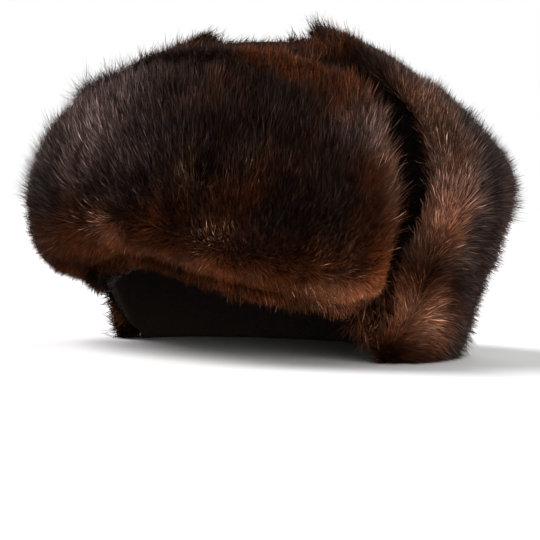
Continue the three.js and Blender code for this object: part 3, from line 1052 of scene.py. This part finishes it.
def hair_lengths(roots, place, zone, coat, rng, seed):
    """How long each hair is, by its coat, its place and chance."""
    length = coat["shortest"] + coat["longer_by"] * rng.random(len(roots)) ** coat["few_long"]
    length *= coat["length"] * length_share(place, zone, coat["when_low"])
    length *= 1 + LENGTH_VARIES * smooth_noise(roots, LENGTH_PATCH, seed + 5)
    return length


def hair_lifts(roots, place, zone, coat, rng, seed):
    """How steeply each hair stands on the hide, in radians: more so low on the visor, and on its far side."""
    lift = coat["lift"] + rng.normal(size=len(roots)) * coat["lift_spread"]
    if zone == "visor":
        far_side = ease(place["angle"], *FAR_SIDE_ANGLES)
        lift += (LOW_LIFT + FAR_SIDE_LIFT * far_side) * ease(place["above_hem"], *LOW_LIFT_HEIGHTS)
    lift = lift + smooth_noise(roots, LIFT_PATCH, seed + 6) * LIFT_VARIES
    return np.radians(np.clip(lift, FLATTEST, STEEPEST))


def strands(roots, normals, place, zone, coat, seed):
    """Bent, tapered blades of hair, as points, faces and how far along the hair each point is."""
    rng = np.random.default_rng(seed)
    spread = rng.normal(size=len(roots)) * coat["spread"]
    way = comb(roots, normals, place, zone, spread, seed)
    half = hair_lengths(roots, place, zone, coat, rng, seed)[:, None] / 2
    lift = hair_lifts(roots, place, zone, coat, rng, seed)
    rise = np.sin(lift)[:, None] * normals
    run = np.cos(lift)[:, None] * way
    steep = np.sin(lift + coat["bend"])[:, None] * normals + np.cos(lift + coat["bend"])[:, None] * way
    knee = roots + steep * half
    tips = knee + (rise * (1 - coat["droop"]) + run) * half
    jitter = rng.normal(size=(len(roots), 3)) * coat["jitter"]
    pull = coat["clump"] * tuft_share(place, zone)
    tips = clumped(roots, tips, SMALL_TUFT, pull, seed + 10)
    tips = clumped(roots, tips, LARGE_TUFT, pull * LARGE_TUFT_PULL, seed + 20)
    tips += jitter
    knee += (tips - knee) * KNEE_FOLLOWS_TIP + jitter * KNEE_JITTER
    return blades(roots - normals * ROOT_DEPTH, knee, tips, normals, coat, rng)


def blades(roots, knee, tips, normals, coat, rng):
    """A flat tapered blade along each bent hair, turned at random about its length."""
    steps = coat["steps"]
    count = len(roots)
    roll = rng.uniform(-MOST_ROLL, MOST_ROLL, count)[:, None]
    points = []
    for share, width in steps:
        centre = roots * (1 - share) ** 2 + knee * 2 * share * (1 - share) + tips * share**2
        along = unit((knee - roots) * (1 - share) + (tips - knee) * share)
        across = unit(np.cross(along, normals))
        up = np.cross(across, along)
        wide = across * np.cos(roll) + up * np.sin(roll)
        half = wide * coat["width"] * width / 2
        if width > 0:
            points.append(centre - half)
            points.append(centre + half)
        else:
            points.append(centre)
    stacked = np.stack(points, axis=1)
    per_strand = stacked.shape[1]
    faces = []
    for pair in range(len(steps) - 2):
        a = 2 * pair
        faces.append([a, a + 1, a + 3])
        faces.append([a, a + 3, a + 2])
    last = per_strand - 1
    faces.append([last - 2, last - 1, last])
    starts = np.arange(count)[:, None, None] * per_strand
    corners = (np.array(faces)[None] + starts).reshape(-1, 3)
    along = np.concatenate([[share] * (2 if width > 0 else 1) for share, width in steps])
    stacked = stacked.reshape(-1, 3)
    stacked[:, 2] = np.maximum(stacked[:, 2], FLOOR_CLEARANCE)
    return stacked, corners, np.tile(along, count), per_strand


def mesh_object(name, points, corners):
    mesh = bpy.data.meshes.new(name)
    mesh.vertices.add(len(points))
    mesh.vertices.foreach_set("co", points.astype(np.float32).ravel())
    mesh.loops.add(corners.size)
    mesh.loops.foreach_set("vertex_index", corners.astype(np.int32).ravel())
    mesh.polygons.add(len(corners))
    mesh.polygons.foreach_set("loop_start", np.arange(0, corners.size, 3, dtype=np.int32))
    mesh.update(calc_edges=True)
    thing = bpy.data.objects.new(name, mesh)
    bpy.context.scene.collection.objects.link(thing)
    return thing


def add_values(thing, name, values):
    values_there = thing.data.attributes.new(name, "FLOAT", "POINT")
    values_there.data.foreach_set("value", values.astype(np.float32))


def visor_warmth(place):
    """The visor is reddish low down, at its ends, and along its rim near the left."""
    top = np.interp(place["angle"], LOW_WARM_ANGLES, LOW_WARM_TOP)
    low = ease(place["above_hem"] / top, *LOW_WARM_SHARES)
    low = low * np.interp(place["angle"], LOW_WARM_ANGLES, LOW_WARM)
    end = ease(place["round_back"], *VISOR_END)
    end = end * np.where(place["angle"] > 0, LEFT_END_WARMTH, RIGHT_END_WARMTH)
    rim_height = WARM_RIM_HEIGHT - WARM_RIM_FALLS * (place["angle"] - WARM_RIM_AT)
    rim = ease(place["height"] - rim_height, *WARM_RIM_BAND) * ease(place["angle"], *WARM_RIM_ANGLES)
    return np.maximum(np.maximum(low, end), rim * WARM_RIM)


def flap_warmth(place):
    """The flaps are reddish in a band behind their front edges and at the front of their feet."""
    band = ease(place["past_front"], *WARM_BAND) * ease(place["height"], *WARM_BAND_TOP) * WARM_BAND_WARMTH
    foot = ease(place["height"], *FOOT_HEIGHTS) * ease(place["round_back"], *FOOT_ANGLES) * FOOT_WARMTH
    return np.maximum(np.maximum(band, foot), FLAP_WARMTH)


def warmth_at(place, zone, noise):
    """Where the fur is reddish brown instead of nearly black, from 0 to 1."""
    if zone == "crown":
        return np.maximum(lower_corner(place), beside_tip(place)) * CROWN_EDGE_WARMTH + CROWN_WARMTH
    warm = visor_warmth(place) if zone == "visor" else flap_warmth(place)
    return np.clip(warm + WARMTH_VARIES * noise, 0, 1)


def paleness_at(place, zone, strands_share):
    """How much paler than the rest the fur is: patches, and a band behind the flaps' front edges."""
    pale = np.maximum(patches(place, "pale"), patches(place, "strands") * strands_share)
    if zone == "crown":
        return pale + CORNER_PALENESS * lower_corner(place) + BESIDE_TIP_PALENESS * beside_tip(place)
    if zone == "flap":
        pale = np.maximum(pale, FLAP_PALENESS)
        band = ease(place["past_front"], *PALE_BAND_FRONT) * ease(place["past_front"], *PALE_BAND_BACK)
        band = band * ease(place["height"], *PALE_BAND_FOOT) * ease(place["height"], *PALE_BAND_TOP)
        pale = np.maximum(pale, band * PALE_BAND)
    return pale


def some_of(pale, singly, rng):
    """Gathers a pale patch into single pale hairs: not at all at 0 and wholly at 1."""
    chosen = rng.random(len(pale)) < pale
    return pale * (1 - singly) * EVEN_PALENESS + chosen * singly


def brightness_at(place, zone):
    """How much of its colour's brightness the fur has: painted shade in the dark patches, over the crown, in
    the gaps between the pieces, at the flaps' bottom and along the visor's hem, and painted light in the
    bright patches.
    """
    # Painted shade in the dark patches
    bright = 1 - patches(place, "dark")
    if zone == "crown":
        # Painted shade over the crown, less beside the tips and in the low corners
        near_flaps = np.maximum(beside_tip(place), lower_corner(place))
        bright *= CROWN_SHADED_BRIGHTNESS + (1 - CROWN_SHADED_BRIGHTNESS) * near_flaps
        # Painted shade in the gaps beside the visor's ends
        gap = ease(place["round_back"], *GAP_FRONT) * ease(place["round_back"], *GAP_BACK)
        gap *= ease(place["height"], *GAP_TOP) * (1 - lower_corner(place))
        return bright * (1 - GAP_PAINTED_SHADE * gap)
    # Painted light in the bright patches
    bright *= 1 + patches(place, "bright")
    if zone == "flap":
        # Painted shade along the flaps' bottom roll
        return bright * (1 - FOLD_PAINTED_SHADE * ease(place["height"], *FOLD_HEIGHTS))
    # Painted shade along the visor's hem
    return bright * (1 - HEM_PAINTED_SHADE * ease(place["above_hem"], *HEM_EDGE))


def tone_of(roots, place, zone, coat, rng, seed):
    """How bright each hair is beside its colour: by chance, by small and large patches, and by the painted
    light and shade of its place.
    """
    tone_and_painted_light = np.exp(rng.normal(size=len(roots)) * coat["uneven"])
    tone_and_painted_light *= 1 + TONE_VARIES * smooth_noise(roots, SMALL_TONES, seed + 31)
    large = 1 + TONE_VARIES * smooth_noise(roots, LARGE_TONES, LARGE_TONES_SEED)
    tone_and_painted_light *= brightness_at(place, zone) * large
    return tone_and_painted_light


def grow(fur, zone, pad, area, material, seed):
    """A coat of fur on a pad, as one mesh."""
    coat = fur["coat"]
    rng = np.random.default_rng(seed)
    roots, normals = sample_roots(pad, area, fur["hairs"], rng)
    place = place_of(roots)
    points, corners, along, per_strand = strands(roots, normals, place, zone, coat, seed)
    thing = mesh_object(fur["on"] + "_" + fur["kind"], points, corners)
    tone_and_painted_light = tone_of(roots, place, zone, coat, rng, seed)
    noise = smooth_noise(roots, LARGE_COLOURS, COLOURS_SEED)
    noise += SMALL_COLOURS_SHARE * smooth_noise(roots, SMALL_COLOURS, COLOURS_SEED + 1)
    values = {
        "warmth": warmth_at(place, zone, noise),
        "paleness": some_of(paleness_at(place, zone, coat["strands"]), coat["pale_singly"], rng),
        # Frosted grey tips with a painted sheen, by the frost patches
        "frost_and_sheen": np.clip(patches(place, "frost_and_sheen") * (1 + FROST_AND_SHEEN_VARIES * noise), 0, 1),
        # Each hair's brightness, with painted light and shade by place
        "tone_and_painted_light": tone_and_painted_light,
    }
    add_values(thing, "along", along)
    for value_name, value in values.items():
        add_values(thing, value_name, np.repeat(value, per_strand))
    thing.data.materials.append(material)
    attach(thing, "root")


def area_between(area, thing, low, high):
    """A pad's furred area between two hat angles, and 0 outside them."""
    corners, points, _ = triangles_of(thing)
    angle = hat_angle(points[corners].mean(1))
    return np.where((angle >= low) & (angle < high), area, 0)


def make_fur(crown, visor, band):
    """Guard hair and underfur on every pad."""
    materials = {
        "guard_hair": fur_material("guard_hair", GUARD_SHADES),
        "underfur": fur_material("underfur", UNDER_SHADES),
    }
    tree = tree_of([crown, visor, band])
    band_area = furred_area(band, tree)
    left_area = area_between(band_area, band, 0, FLAP_SEAM)
    right_area = area_between(band_area, band, -FLAP_SEAM, 0)
    grounds = {
        "visor": ("visor", visor, furred_area(visor, tree)),
        "crown": ("crown", crown, furred_area(crown, tree)),
        "left_ear_flap": ("flap", band, left_area),
        "right_ear_flap": ("flap", band, right_area),
        "neck_flap": ("flap", band, band_area - left_area - right_area),
    }
    for seed, fur in enumerate(FUR, 1):
        zone, pad, area = grounds[fur["on"]]
        grow(fur, zone, pad, area, materials[fur["coat"]["material"]], seed)


make_camera()
make_floor()
make_lights()
make_world()
crown_shell, visor_pad, flap_band, left_pad, right_pad, neck_pad = make_pads()
# Nearly black hide: the underfur's dark colour, and painted shade deep in the fur
hide = mottled_material("dark_hide_and_depth_shade", HIDE_SCALE, HIDE_AND_DEPTH_SHADES, HIDE_BUMP)
dress(crown_shell, "crown", hide)
dress(visor_pad, "visor", hide)
dress(left_pad, "left_ear_flap", hide)
dress(right_pad, "right_ear_flap", hide)
dress(neck_pad, "neck_flap", hide)
finish_inside(crown_shell)
make_lace()
make_fur(crown_shell, visor_pad, flap_band)
bpy.data.objects.remove(flap_band)
